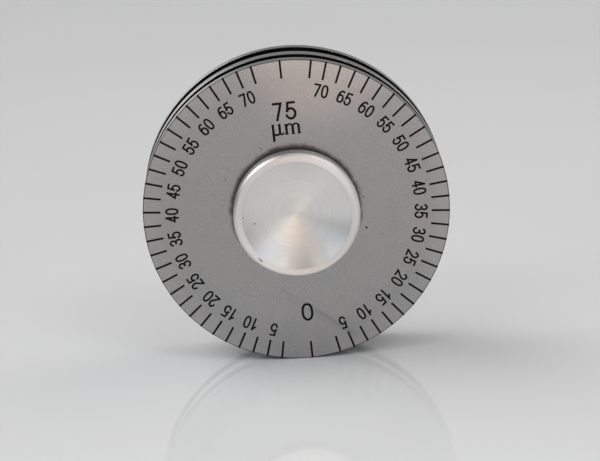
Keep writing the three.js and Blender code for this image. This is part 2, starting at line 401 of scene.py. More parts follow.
def mark_angles():
    """Turns of all marks from the 75 mark, clockwise as seen from the front."""
    half = DIVISIONS // 2
    turns = []
    for division in range(-half, half):
        from_end = min(abs(division), half - abs(division))
        if from_end == 0 or from_end >= END_GAP_DIVISIONS:
            lag = SCALE_LAG if from_end else 0
            turns.append(FULL_TURN * division / DIVISIONS + lag)
    return turns


def face_matrix(turn, centre, top, floor):
    """Stands a mark or a numeral on the front face. Its depth of 0 to 1 runs from top to floor."""
    across = Vector((math.cos(turn), -math.sin(turn)))
    out = Vector((math.sin(turn), math.cos(turn)))
    return Matrix(((across.x, 0, out.x, centre.x),
                   (0, floor - top, 0, top),
                   (across.y, 0, out.y, centre.y),
                   (0, 0, 0, 1)))


def add_copy(shape, mesh, matrix):
    copy = mesh.copy()
    copy.transform(matrix)
    shape.from_mesh(copy)
    bpy.data.meshes.remove(copy)


def scale_mesh(settings, wheel, figures, top, floor, end_margin):
    """All marks and numerals as one mesh of separate prisms, between two depths along Y."""
    shape = bmesh.new()
    for turn in mark_angles():
        out = Vector((math.sin(turn), math.cos(turn)))
        inner = WHEEL_RADIUS - settings.mark_length
        outer = WHEEL_RADIUS - end_margin - out.dot(SCALE_OFFSET)
        mark = stroke_prism([(0, inner), (0, outer)], settings.mark_width, False)
        add_copy(shape, mark, face_matrix(turn, SCALE_OFFSET, top, floor))
    for reading in range(READING_STEP, FULL_READING, READING_STEP):
        from_zero = MARKS_PER_NUMBER * reading // READING_STEP + END_GAP_DIVISIONS - 1
        from_top = DIVISIONS // 2 - from_zero
        share = reading / FULL_READING
        drifts = {1: RIGHT_DRIFT * (1 - share), -1: -LEFT_DRIFT * math.sin(math.pi * share)}
        for side, drift in drifts.items():
            turn = FULL_TURN * side * from_top / DIVISIONS + SCALE_LAG + drift
            digits = str(reading)
            for place, symbol in enumerate(digits):
                shift = (place - (len(digits) - 1) / 2) * settings.figure_pitch
                matrix = face_matrix(turn, NUMBER_RING_CENTRE, top, floor)
                slide = Matrix.Translation((shift, 0, settings.figure_ring))
                add_copy(shape, figures[symbol], matrix @ slide)
    for symbol, (width, x, z) in END_FIGURES.items():
        matrix = face_matrix(0, Vector((x * MM, z * MM)), top, floor)
        add_copy(shape, figures["end_" + symbol], matrix)
    add_copy(shape, figures["unit"], face_matrix(0, Vector((0, 0)), top, floor))
    mesh = mesh_of("scale", shape)
    mesh.transform(Matrix.Rotation(-wheel.standing_roll, 4, "Y"))
    return mesh


def make_figures(settings):
    """The meshes of all numerals in use."""
    plain = (settings.figure_width, settings.figure_height, settings.figure_stroke)
    figures = {symbol: figure(symbol, *plain) for symbol in FIGURES}
    for symbol, (width, x, z) in END_FIGURES.items():
        figures["end_" + symbol] = figure(
            symbol, width * MM, settings.end_figure_height, settings.end_figure_stroke)
    figures["unit"] = united(micrometre_sign())
    return figures


def pit_mesh(wheel):
    """Shallow corrosion pits in the front face, as small cones."""
    shape = bmesh.new()
    for x, z, diameter in PITS:
        place = Matrix.Translation((x * MM, -WHEEL_HALF_WIDTH, z * MM))
        bmesh.ops.create_cone(
            shape, cap_ends=True, segments=PIT_SIDES, radius1=PIT_FLOOR * diameter * MM,
            radius2=PIT_MOUTH * diameter * MM, depth=PIT_HEIGHT,
            matrix=place @ Matrix.Rotation(math.pi / 2, 4, "X"))
    mesh = mesh_of("pits", shape)
    mesh.transform(Matrix.Rotation(-wheel.standing_roll, 4, "Y"))
    return mesh


# The wheel

def rim_clearance(turn, full):
    """How far the middle rim lies below the rails at a turn from the 0 mark."""
    steps = DIVISIONS / 2
    step_clearance = full / (steps - END_GAP_DIVISIONS)
    place = abs(turn) / math.pi * steps
    from_far_end = steps - place
    if place < END_GAP_DIVISIONS:
        return step_clearance * (place / END_GAP_DIVISIONS) ** 2
    if from_far_end < END_GAP_DIVISIONS:
        return full - step_clearance * (from_far_end / END_GAP_DIVISIONS) ** 2
    return step_clearance * (place - END_GAP_DIVISIONS / 2)


def wheel_outline(wheel):
    """Corners of the wheel's section: one side from the middle rim to the bore, then the other."""
    face = WHEEL_HALF_WIDTH
    rail = face - wheel.rail_width
    middle = rail - wheel.groove_width
    floor = WHEEL_RADIUS - wheel.groove_depth
    seat_floor = face - wheel.seat_depth
    one_side = [
        (WHEEL_RADIUS, middle, wheel.rim_break),
        (floor, middle, wheel.floor_round),
        (floor, rail, wheel.floor_round),
        (WHEEL_RADIUS, rail, wheel.rim_break),
        (WHEEL_RADIUS, face, wheel.edge_round),
        (wheel.bore_radius + wheel.seat_lead, face, 0),
        (wheel.bore_radius, face - wheel.seat_lead, 0),
        (wheel.bore_radius, seat_floor, 0),
        (wheel.shoulder_radius, seat_floor, 0),
    ]
    other_side = [(radius, -y, rounding) for radius, y, rounding in reversed(one_side)]
    return rounded(one_side + other_side)


def wheel_blank(wheel):
    """The turned wheel before its scale is cut, with its middle rim ground to the clearance."""
    mesh = turned("gauge_wheel_fine", wheel_outline(wheel), wheel.facets, True)
    middle = WHEEL_HALF_WIDTH - wheel.rail_width - wheel.groove_width
    zero = Vector((math.sin(wheel.standing_roll), -math.cos(wheel.standing_roll)))
    for vertex in mesh.vertices:
        spoke = Vector((vertex.co.x, vertex.co.z))
        radius = spoke.length
        if abs(vertex.co.y) <= middle and radius > WHEEL_RADIUS - wheel.groove_depth / 2:
            lowered = spoke * (1 - rim_clearance(spoke.angle(zero), wheel.full_clearance) / radius)
            vertex.co.x, vertex.co.z = lowered
    return mesh


# The wheel's material slots
GROUND, RIM, GROOVE, CUT_AND_EDGE_SHADE = range(4)
# Slack in comparing a face's place with a size
SLACK = 0.005 * MM


def rolled_pits(wheel):
    """Place and reach of each pit's stain on the standing wheel."""
    roll = Matrix.Rotation(wheel.standing_roll, 2)
    rolled = [(roll @ Vector((x, z)) * MM, PIT_STAIN * diameter * MM) for x, z, diameter in PITS]
    return [(place.x, place.y, reach) for place, reach in rolled]


def wheel_finish_index(wheel, polygon, pits):
    """The finish of one face of the wheel. Pits have the grooves' finish."""
    place = polygon.center
    radius = math.hypot(place.x, place.z)
    aside = abs(place.y)
    rail = WHEEL_HALF_WIDTH - wheel.rail_width
    middle = rail - wheel.groove_width
    faces_outward = abs(polygon.normal.y) > 0.9
    if aside > WHEEL_HALF_WIDTH - SLACK and faces_outward:
        return GROUND
    if middle - SLACK <= aside <= rail + SLACK and radius > WHEEL_RADIUS - wheel.groove_depth - SLACK:
        return GROOVE
    if any(math.hypot(place.x - x, place.z - z) < reach for x, z, reach in pits):
        return GROOVE
    # The rounded edge of the face falls through to the dark cut finish: a painted dark line of shade
    on_round = aside > WHEEL_HALF_WIDTH - wheel.edge_round
    if radius > WHEEL_RADIUS - wheel.edge_round - wheel.full_clearance and not on_round:
        return RIM
    return CUT_AND_EDGE_SHADE


# Finishes

# Turning and grinding lines run round the axle and spread light across themselves
ACROSS_THE_LINES = 0.25
# The part of a noise pattern's range that most of it lies in
SPREAD = {"From Min": 0.3, "From Max": 0.7}
# The two colours among a mix node's sockets
COLOUR_A, COLOUR_B = 6, 7
NO_TINT = (1, 1, 1, 1)
# A painted warm highlight near the top of the face: place across and up and size, in millimetres, and
# tint
FACE_WARM_HIGHLIGHT = {"x": 4.5, "z": 26, "reach": 4, "soft": 12}
FACE_WARM_HIGHLIGHT_TINT = (1.4, 1.32, 1.27, 1)
# Rubbed streaks on the lower face: ends and half width in millimetres, then a strength
STREAKS = (
    ((-4.5, 0, -12.2), (3.4, 0, -17.2), 0.3, 0.1),
    ((1.6, 0, -16.2), (9.4, 0, -22.2), 0.45, 0.15),
    ((-3, 0, -14.2), (9, 0, -21.6), 1.1, 0.07),
)
STREAK_END_FADE = 2
# Radii between which the face is painted brighter
RIM_BRIGHTENING_START, RIM_BRIGHTENING_END = 21.5 * MM, 24.5 * MM
# Painted shade round the grip: centre, the radii where it fades, and how far its edge wanders
GRIP_SHADE_CENTRE = (-0.06 * MM, 0, 0.3 * MM)
GRIP_SHADE_START, GRIP_SHADE_END = 10.8 * MM, 11.6 * MM
GRIP_SHADE_SWAY = 1.1 * MM
# Radii on a grip: where painted shade starts on its dish and its wall, and where its land starts
DISH_SHADE_START = 4 * MM
LAND_START = 8.9 * MM
WALL_SHADE_START, WALL_SHADE_END = 10.12 * MM, 10.28 * MM
# Dark nicks in the front grip: place across and up and reach, in millimetres
NICKS = ((-6.9, -1.1, 0.06), (-8.75, 0.1, 0.02), (-6.6, -6.72, 0.02), (-6.4, -6.9, 0.04),
         (-6.22, -7.08, 0.06), (-6.04, -7.24, 0.05))
NICK_SOFT, NICK_DARKENING = 0.14, 0.8
# Where a painted warm highlight lies in the dishes, in millimetres, and the tint there
DISH_WARM_HIGHLIGHT = {"x": -0.7, "z": -2.6, "reach": 1, "soft": 3}
DISH_WARM_HIGHLIGHT_TINT = (1.08, 1.05, 1, 1)


def add_node(tree, kind, inputs=None, **settings):
    """Adds a node with its settings. An input is a value, an output socket or a node, which feeds it
    from its first output in use."""
    node = tree.nodes.new("ShaderNode" + kind)
    for name, value in settings.items():
        setattr(node, name, value)
    for name, value in (inputs or {}).items():
        if isinstance(value, bpy.types.Node):
            value = next(socket for socket in value.outputs if socket.enabled)
        if isinstance(value, bpy.types.NodeSocket):
            tree.links.new(value, node.inputs[name])
        else:
            node.inputs[name].default_value = value
    return node


def make_material(name, finish, *values):
    """A material whose shader a finish makes in its node tree from the place on the piece."""
    material = bpy.data.materials.new(name)
    material.use_nodes = True
    tree = material.node_tree
    tree.nodes.clear()
    place = add_node(tree, "TexCoord").outputs["Object"]
    add_node(tree, "OutputMaterial", {"Surface": finish(tree, place, *values)})
    return material


def seen_along_axle(tree, place):
    """The place taken apart, and the place flattened onto the wheel's face."""
    apart = add_node(tree, "SeparateXYZ", {"Vector": place})
    return apart, add_node(tree, "CombineXYZ", {"X": apart.outputs["X"], "Z": apart.outputs["Z"]})


def spot(tree, flat, x, z, reach, soft):
    """A round patch seen along the axle: 1 inside reach and 0 past reach plus soft, in millimetres."""
    distance = add_node(tree, "VectorMath", {0: flat, 1: (x * MM, 0, z * MM)}, operation="DISTANCE")
    return add_node(tree, "MapRange", {
        "Value": distance, "From Min": reach * MM, "From Max": (reach + soft) * MM,
        "To Min": 1, "To Max": 0}, interpolation_type="SMOOTHSTEP")


def streak(tree, flat, start, end, half_width):
    """A faint straight streak between two points of the face: 1 on its line, 0 past half_width."""
    from_start = add_node(tree, "VectorMath", {0: flat, 1: start * MM}, operation="SUBTRACT")
    along = add_node(tree, "VectorMath", {0: from_start, 1: end - start}, operation="PROJECT")
    aside = add_node(tree, "VectorMath", {0: from_start, 1: along}, operation="DISTANCE")
    fade = add_node(tree, "MapRange", {
        "Value": aside, "From Max": half_width * MM,
        "To Min": 1, "To Max": 0}, interpolation_type="SMOOTHSTEP")
    middle = (start + end) / 2
    reach = (end - start).length / 2 - STREAK_END_FADE
    ends = spot(tree, flat, middle.x, middle.z, reach, STREAK_END_FADE)
    return add_node(tree, "Math", {0: fade, 1: ends}, operation="MULTIPLY")


def ground_steel(tree, place, finishes):
    """Hardened stainless steel, surface ground and lapped by hand: a grey satin with faint clouds."""
    # Clouds about 5 mm wide, from handling and uneven lapping
    clouds = add_node(tree, "TexNoise", {
        "Vector": place, "Scale": 1 / (5 * MM), "Detail": 4, "Roughness": 0.62})
    # Grit marks of about 0.2 mm: the real ones are finer and would not show
    grit = add_node(tree, "TexNoise", {
        "Vector": place, "Scale": 1 / (0.2 * MM), "Detail": 3, "Roughness": 0.7})
    mix = add_node(tree, "Mix", {
        "Factor": clouds, COLOUR_A: (*finishes.steel_dark, 1), COLOUR_B: (*finishes.steel, 1)},
        data_type="RGBA")
    grain = add_node(tree, "MapRange", {"Value": grit, **SPREAD, "To Min": 0.84, "To Max": 1.14})
    grained = add_node(tree, "VectorMath", {0: mix, "Scale": grain}, operation="SCALE")
    flat = seen_along_axle(tree, place)[1]
    # Painted warm highlight: brighter and a little warmer near the top of the face
    film = spot(tree, flat, **FACE_WARM_HIGHLIGHT)
    highlight_tint = add_node(tree, "Mix", {
        "Factor": film, COLOUR_A: NO_TINT, COLOUR_B: FACE_WARM_HIGHLIGHT_TINT}, data_type="RGBA")
    grain_and_highlight = add_node(tree, "VectorMath", {0: grained, 1: highlight_tint}, operation="MULTIPLY")
    # The face is painted a little brighter towards its rim
    outward = add_node(tree, "VectorMath", {0: flat}, operation="LENGTH")
    tone = add_node(tree, "MapRange", {
        "Value": outward, "From Min": RIM_BRIGHTENING_START, "From Max": RIM_BRIGHTENING_END, "To Min": 0.98, "To Max": 1.07})
    for start, end, half_width, strength in STREAKS:
        line = streak(tree, flat, Vector(start), Vector(end), half_width)
        kept = add_node(tree, "Math", {0: line, 1: -strength, 2: 1}, operation="MULTIPLY_ADD")
        tone = add_node(tree, "Math", {0: tone, 1: kept}, operation="MULTIPLY")
    toned_face = add_node(tree, "VectorMath", {0: grain_and_highlight, "Scale": tone}, operation="SCALE")
    # Painted shade on the face round the grip, a little more above it
    radius = add_node(tree, "VectorMath", {0: flat, 1: GRIP_SHADE_CENTRE}, operation="DISTANCE")
    uneven = add_node(tree, "TexNoise", {
        "Vector": place, "Scale": 1 / (1.6 * MM), "Detail": 3, "Roughness": 0.6})
    pushed = add_node(tree, "Math", {0: uneven, 1: GRIP_SHADE_SWAY, 2: radius}, operation="MULTIPLY_ADD")
    ring = add_node(tree, "MapRange", {
        "Value": pushed, "From Min": GRIP_SHADE_START, "From Max": GRIP_SHADE_END,
        "To Min": 0.78, "To Max": 0}, interpolation_type="SMOOTHSTEP")
    shaded_round_grip = add_node(tree, "Mix", {
        "Factor": ring, COLOUR_A: toned_face, COLOUR_B: (*finishes.grime, 1)}, data_type="RGBA")
    rough = add_node(tree, "MapRange", {"Value": clouds, **SPREAD, "To Min": 0.25, "To Max": 0.31})
    bump = add_node(tree, "Bump", {"Height": grit, "Distance": 0.004 * MM, "Strength": 0.5})
    return add_node(tree, "BsdfPrincipled", {
        "Base Color": shaded_round_grip, "Metallic": 1, "Roughness": rough, "Normal": bump})


def round_ground_steel(tree, place, finishes):
    """Stainless steel ground on a cylindrical grinder: fine lines run round the rims."""
    apart = add_node(tree, "SeparateXYZ", {"Vector": place})
    # Grinding lines about 0.06 mm apart across the rim
    lines = add_node(tree, "TexNoise", {
        "W": apart.outputs["Y"], "Scale": 1 / (0.06 * MM), "Detail": 2}, noise_dimensions="1D")
    tone = add_node(tree, "MapRange", {"Value": lines, **SPREAD, "To Min": 0.9, "To Max": 1.06})
    base = add_node(tree, "VectorMath", {0: finishes.steel, "Scale": tone}, operation="SCALE")
    tangent = add_node(tree, "Tangent", direction_type="RADIAL", axis="Y")
    bump = add_node(tree, "Bump", {"Height": lines, "Distance": 0.003 * MM, "Strength": 0.4})
    return add_node(tree, "BsdfPrincipled", {
        "Base Color": base, "Metallic": 1, "Roughness": 0.27, "Anisotropic": 0.55,
        "Anisotropic Rotation": ACROSS_THE_LINES, "Tangent": tangent, "Normal": bump})


def blacked_steel(tree, place, finishes):
    """Near-black steel in the grooves and the pits: a matt black with a trace of dust."""
    dust = add_node(tree, "TexNoise", {
        "Vector": place, "Scale": 1 / (0.8 * MM), "Detail": 4, "Roughness": 0.65})
    tone = add_node(tree, "MapRange", {
        "Value": dust, "From Min": 0.4, "From Max": 0.8, "To Min": 0.7, "To Max": 2})
    base = add_node(tree, "VectorMath", {0: finishes.blacking, "Scale": tone}, operation="SCALE")
    return add_node(tree, "BsdfPrincipled", {
        "Base Color": base, "Roughness": 0.7, "IOR": 1.5, "Specular IOR Level": 0.08})


def engraved_steel(tree, place, finishes):
    """Raw steel of the cut walls and the bore: milled, darker than the ground face. On the rounded
    edge of the face it makes a painted dark line of shade.
    """
    chatter = add_node(tree, "TexNoise", {"Vector": place, "Scale": 1 / (0.15 * MM), "Detail": 2})
    tone = add_node(tree, "MapRange", {"Value": chatter, "To Min": 0.22, "To Max": 0.48})
    base = add_node(tree, "VectorMath", {0: finishes.steel, "Scale": tone}, operation="SCALE")
    return add_node(tree, "BsdfPrincipled", {"Base Color": base, "Metallic": 1, "Roughness": 0.45})


def scale_lacquer(tree, place, finishes):
    """Black lacquer wiped into the marks: dull, a little brown, with fine pores."""
    pores = add_node(tree, "TexNoise", {
        "Vector": place, "Scale": 1 / (0.25 * MM), "Detail": 3, "Roughness": 0.7})
    tone = add_node(tree, "MapRange", {
        "Value": pores, "From Min": 0.35, "From Max": 0.8, "To Min": 0.7, "To Max": 2})
    base = add_node(tree, "VectorMath", {0: finishes.filler, "Scale": tone}, operation="SCALE")
    bump = add_node(tree, "Bump", {"Height": pores, "Distance": 0.01 * MM, "Strength": 0.5})
    return add_node(tree, "BsdfPrincipled", {
        "Base Color": base, "Roughness": 0.5, "IOR": 1.5, "Specular IOR Level": 0.12, "Normal": bump})


def turned_aluminium(tree, place, finishes):
    """Bright aluminium, fine turned on a lathe: rings round the axle draw light into a bow tie."""
    apart, flat = seen_along_axle(tree, place)
    radius = add_node(tree, "VectorMath", {0: flat}, operation="LENGTH")
    # Feed rings 0.09 mm apart, coarser than the real ones so that they show
    feed = add_node(tree, "TexNoise", {
        "W": radius, "Scale": 1 / (0.09 * MM), "Detail": 3, "Roughness": 0.6}, noise_dimensions="1D")
    wide = add_node(tree, "TexNoise", {
        "W": radius, "Scale": 1 / (0.7 * MM), "Detail": 2}, noise_dimensions="1D")
    smudge = add_node(tree, "TexNoise", {
        "Vector": place, "Scale": 1 / (3.5 * MM), "Detail": 3, "Roughness": 0.6})
    rings = add_node(tree, "Math", {0: wide, 1: 2, 2: feed}, operation="MULTIPLY_ADD")
    tone = add_node(tree, "MapRange", {
        "Value": rings, "From Min": 1, "From Max": 2, "To Min": 0.955, "To Max": 1.035})
    # Painted shade: the side wall is painted darker, for the shaded face that it reflects
    wall = add_node(tree, "MapRange", {
        "Value": radius, "From Min": WALL_SHADE_START, "From Max": WALL_SHADE_END, "To Min": 1, "To Max": 0.74})
    shade = add_node(tree, "Math", {0: tone, 1: wall}, operation="MULTIPLY")
    # Painted shade: the dish is darker towards its edge, inside the bright flat land
    dish = add_node(tree, "MapRange", {
        "Value": radius, "From Min": DISH_SHADE_START, "From Max": LAND_START,
        "To Min": 1, "To Max": 0.94})
    land = add_node(tree, "Math", {0: radius, 1: LAND_START}, operation="GREATER_THAN")
    dish_shade = add_node(tree, "Math", {0: dish, 1: land}, operation="MAXIMUM")
    shade = add_node(tree, "Math", {0: shade, 1: dish_shade}, operation="MULTIPLY")
    in_front = add_node(tree, "Math", {0: apart.outputs["Y"], 1: 0}, operation="LESS_THAN")
    darkening = add_node(tree, "Math", {0: in_front, 1: -NICK_DARKENING}, operation="MULTIPLY")
    for x, z, reach in NICKS:
        nick = spot(tree, flat, x, z, reach, NICK_SOFT)
        kept = add_node(tree, "Math", {0: nick, 1: darkening, 2: 1}, operation="MULTIPLY_ADD")
        shade = add_node(tree, "Math", {0: shade, 1: kept}, operation="MULTIPLY")
    # A painted warm highlight in the dish just below its middle
    warm_spot = spot(tree, flat, **DISH_WARM_HIGHLIGHT)
    warm_tint = add_node(tree, "Mix", {
        "Factor": warm_spot, COLOUR_A: NO_TINT, COLOUR_B: DISH_WARM_HIGHLIGHT_TINT}, data_type="RGBA")
    bright = add_node(tree, "VectorMath", {0: warm_tint, 1: finishes.aluminium}, operation="MULTIPLY")
    base = add_node(tree, "VectorMath", {0: bright, "Scale": shade}, operation="SCALE")
    bump = add_node(tree, "Bump", {"Height": rings, "Distance": 0.003 * MM, "Strength": 0.36})
    rough = add_node(tree, "MapRange", {"Value": smudge, **SPREAD, "To Min": 0.34, "To Max": 0.39})
    tangent = add_node(tree, "Tangent", direction_type="RADIAL", axis="Y")
    return add_node(tree, "BsdfPrincipled", {
        "Base Color": base, "Metallic": 1, "Roughness": rough,
        "Anisotropic": 0.8, "Anisotropic Rotation": ACROSS_THE_LINES, "Tangent": tangent,
        "Normal": bump})


def plain_metal(tree, place, code, roughness, grain, contrast):
    """A metal with a fine all-over grain, whose size is in millimetres."""
    noise = add_node(tree, "TexNoise", {
        "Vector": place, "Scale": 1 / (grain * MM), "Detail": 3, "Roughness": 0.6})
    tone = add_node(tree, "MapRange", {"Value": noise, "To Min": 1 - contrast, "To Max": 1 + contrast})
    base = add_node(tree, "VectorMath", {0: linear(code), "Scale": tone}, operation="SCALE")
    rough = add_node(tree, "MapRange", {
        "Value": noise, "To Min": roughness * 0.8, "To Max": roughness * 1.2})
    return add_node(tree, "BsdfPrincipled", {"Base Color": base, "Metallic": 1, "Roughness": rough})


def moulded_nylon(tree, place):
    """Natural nylon of the ball cages, injection moulded: milky ivory and waxy."""
    flow = add_node(tree, "TexNoise", {"Vector": place, "Scale": 1 / (1.2 * MM), "Detail": 2})
    tone = add_node(tree, "MapRange", {"Value": flow, "To Min": 0.92, "To Max": 1.05})
    base = add_node(tree, "VectorMath", {0: linear("#E6DFC8"), "Scale": tone}, operation="SCALE")
    return add_node(tree, "BsdfPrincipled", {
        "Base Color": base, "Roughness": 0.42, "IOR": 1.53, "Subsurface Weight": 0.1,
        "Subsurface Radius": (0.4 * MM, 0.35 * MM, 0.25 * MM)})


# The wheel's finishes in the order of its material slots, then those inside the gauge
WHEEL_FINISHES = (
    ("ground_stainless_steel", ground_steel),
    ("cylindrically_ground_steel", round_ground_steel),
    ("near_black_groove_steel", blacked_steel),
    ("engraved_steel", engraved_steel),
)
BEARING_FINISHES = {
    "bearing_steel": ("polished_bearing_steel", plain_metal, "#C9CCD0", 0.14, 0.5, 0.05),
    "pressed_steel": ("pressed_bright_steel", plain_metal, "#B9BBBC", 0.32, 0.8, 0.06),
    "zinc_plated_steel": ("bright_zinc_plate", plain_metal, "#C6C8C4", 0.3, 0.6, 0.08),
    "moulded_nylon": ("injection_moulded_nylon", moulded_nylon),
}


# Operators

class GAUGE_OT_make_wheel(Operator):
    """Turn the wheel, cut its scale and fill it with black lacquer"""

    bl_idname = "gauge.make_wheel"
    bl_label = "Make wheel"

    def execute(self, context):
        wheel = context.scene.gauge_wheel
        scale = context.scene.gauge_scale
        finishes = context.scene.gauge_finishes
        figures = make_figures(scale)
        face = -WHEEL_HALF_WIDTH
        above = face - scale.cut_depth
        floor = face + scale.cut_depth
        cutter = scale_mesh(scale, wheel, figures, above, floor, -scale.cut_depth)
        engraved = boolean(wheel_blank(wheel), cutter, "DIFFERENCE", "MANIFOLD")
        engraved = boolean(engraved, pit_mesh(wheel), "DIFFERENCE", "MANIFOLD")
        body = new_object("gauge_wheel_fine", engraved)
        for name, finish in WHEEL_FINISHES:
            body.data.materials.append(make_material(name, finish, finishes))
        pits = rolled_pits(wheel)
        for polygon in body.data.polygons:
            polygon.material_index = wheel_finish_index(wheel, polygon, pits)
        finish_shading(body)
        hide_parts("gauge_wheel")
        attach(body, "wheel")

        surface = face + scale.paint_recess
        filling = scale_mesh(scale, wheel, figures, surface, floor, wheel.edge_round)
        paint = new_object("scale_lacquer", filling)
        paint.data.materials.append(make_material("black_scale_lacquer", scale_lacquer, finishes))
        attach(paint, "wheel")
        return {"FINISHED"}


# A grip's boss sinks into the wheel, and metal is left between its dish and its threaded hole
BOSS_SINK = 0.28 * MM
DISH_FLOOR = 1 * MM
SPIGOT_ROUND = 0.3 * MM
# The drill point is a share of the hole's radius
DRILL_POINT = 0.6
# The dish's curve starts a little inside its edge
DISH_EDGE = 0.1 * MM
DISH_STEPS = 40


def grip_outline(grip):
    """The rear grip's section, from the drill point in its spigot out to the middle of its dish."""
    radius = grip.diameter / 2
    back = WHEEL_HALF_WIDTH + grip.face_gap
    land = GRIP_OUTER_END
    boss_end = WHEEL_HALF_WIDTH - BOSS_SINK
    dish_radius = radius - grip.chamfer - grip.land
    ball = (dish_radius ** 2 + grip.dish_depth ** 2) / (2 * grip.dish_depth)
    ball_centre = land - grip.dish_depth + ball
    hole_end = land - grip.dish_depth - DISH_FLOOR
    # A point well inside the dish leads the rounding of its edge and is then dropped
    inside = dish_radius - 0.5 * MM
    corners = [
        (0, hole_end, 0),
        (grip.thread_radius, hole_end - DRILL_POINT * grip.thread_radius, 0),
        (grip.thread_radius, GRIP_INNER_END, 0),
        (grip.spigot_radius, GRIP_INNER_END, SPIGOT_ROUND),
        (grip.spigot_radius, boss_end, 0),
        (grip.boss_radius, boss_end, 0),
        (grip.boss_radius, back, 0),
        (radius - grip.back_chamfer, back, grip.edge_break),
        (radius, back + grip.back_chamfer, grip.edge_break),
        (radius, land - grip.chamfer, grip.edge_break),
        (radius - grip.chamfer, land, grip.edge_break),
        (dish_radius, land, grip.edge_break),
        (inside, ball_centre - math.sqrt(ball ** 2 - inside ** 2), 0),
    ]
    outline = rounded(corners)[:-1]
    start = math.asin((dish_radius - DISH_EDGE) / ball)
    for step in range(DISH_STEPS, -1, -1):
        turn = start * step / DISH_STEPS
        outline.append(Vector((ball * math.sin(turn), ball_centre - ball * math.cos(turn))))
    return outline


class GAUGE_OT_make_grips(Operator):
    """Turn the front and the rear finger grip"""

    bl_idname = "gauge.make_grips"
    bl_label = "Make grips"

    def execute(self, context):
        grip = context.scene.gauge_grip
        finishes = context.scene.gauge_finishes
        material = make_material("fine_turned_aluminium", turned_aluminium, finishes)
        for side, turn in (("rear", 0), ("front", math.pi)):
            mesh = turned(side + "_grip_fine", grip_outline(grip), grip.facets, False)
            mesh.transform(Matrix.Rotation(turn, 4, "Z"))
            piece = new_object(side + "_grip_fine", mesh)
            piece.data.materials.append(material)
            finish_shading(piece, sharp_degrees=9)
            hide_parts(side + "_grip")
            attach(piece, "grips")
        return {"FINISHED"}


class GAUGE_OT_finish_bearings(Operator):
    """Give the bearings, the spacer and the stud their finishes"""

    bl_idname = "gauge.finish_bearings"
    bl_label = "Finish bearings"

    def execute(self, context):
        made = {slot: make_material(*finish) for slot, finish in BEARING_FINISHES.items()}
        for row in frame["record"]["subparts"]:
            if row["material_slot"] in made:
                node = frame["nodes"][row["node"]]
                node.data.materials.clear()
                node.data.materials.append(made[row["material_slot"]])
        return {"FINISHED"}


# The studio

# Turns and heights are in degrees
CAMERA_DISTANCE = 440.085 * MM
CAMERA_TURN = -0.5121
CAMERA_HEIGHT = 13.3691
CAMERA_ROLL = math.radians(-3.1)
IMAGE_WIDTH = 600
IMAGE_HEIGHT = 461
FOCAL_PIXELS = 2705.79
FACE_CENTRE_PIXEL = (296.56, 210.77)
SENSOR_WIDTH = 36
FLOOR_RADIUS = 4
FLOOR_FACETS = 96


def direction(turn, height):
    """A direction from a turn to the right of the front and a height, both in degrees."""
    turn, height = math.radians(turn), math.radians(height)
    return Vector((math.sin(turn) * math.cos(height), -math.cos(turn) * math.cos(height),
                   math.sin(height)))


def camera_matrix():
    """The camera's place, with the middle of the wheel's face at its pixel of the photograph."""
    back = direction(CAMERA_TURN, CAMERA_HEIGHT)
    place = Vector((0, -WHEEL_HALF_WIDTH, 0)) + back * CAMERA_DISTANCE
    right = (-back).cross(Vector((0, 0, 1))).normalized()
    up = right.cross(-back)
    right, up = (right * math.cos(CAMERA_ROLL) + up * math.sin(CAMERA_ROLL),
                 up * math.cos(CAMERA_ROLL) - right * math.sin(CAMERA_ROLL))
    sight = Vector(((FACE_CENTRE_PIXEL[0] - IMAGE_WIDTH / 2) / FOCAL_PIXELS,
                    (IMAGE_HEIGHT / 2 - FACE_CENTRE_PIXEL[1]) / FOCAL_PIXELS, 1)).normalized()
    swing = sight.rotation_difference(Vector((0, 0, 1))).to_matrix()
    axes = swing.transposed() @ Matrix((right, up, -back))
    matrix = Matrix((axes[0], axes[1], -axes[2])).transposed().to_4x4()
    matrix.translation = place
    return matrix


def area_light(name, turn, height, distance, width, tall, power, tint):
    """A softbox that looks at the wheel's centre from a turn and a height."""
    light = bpy.data.lights.new(name, "AREA")
    light.shape = "RECTANGLE"
    light.size = width
    light.size_y = tall
    light.energy = power
    light.color = linear(tint)
    lamp = new_object(name, light)
    spoke = direction(turn, height).normalized()
    lamp.location = spoke * distance
    lamp.rotation_euler = spoke.to_track_quat("Z", "Y").to_euler()
    lamp.visible_camera = False


def pale_laminate(tree, place, studio):
    """A pale table top, faintly glossy."""
    cloud = add_node(tree, "TexNoise", {"Vector": place, "Scale": 1 / (60 * MM), "Detail": 2})
    tone = add_node(tree, "MapRange", {"Value": cloud, "To Min": 0.98, "To Max": 1.02})
    base = add_node(tree, "VectorMath", {0: studio.floor, "Scale": tone}, operation="SCALE")
    return add_node(tree, "BsdfPrincipled", {"Base Color": base, "Roughness": 0.03, "IOR": 1.45})


def make_floor(studio):
    shape = bmesh.new()
    bmesh.ops.create_circle(shape, cap_ends=True, segments=FLOOR_FACETS, radius=FLOOR_RADIUS,
                            matrix=Matrix.Translation((0, 0, FLOOR_HEIGHT)))
    floor = new_object("floor", mesh_of("floor", shape))
    floor.data.materials.append(make_material("pale_laminate", pale_laminate, studio))


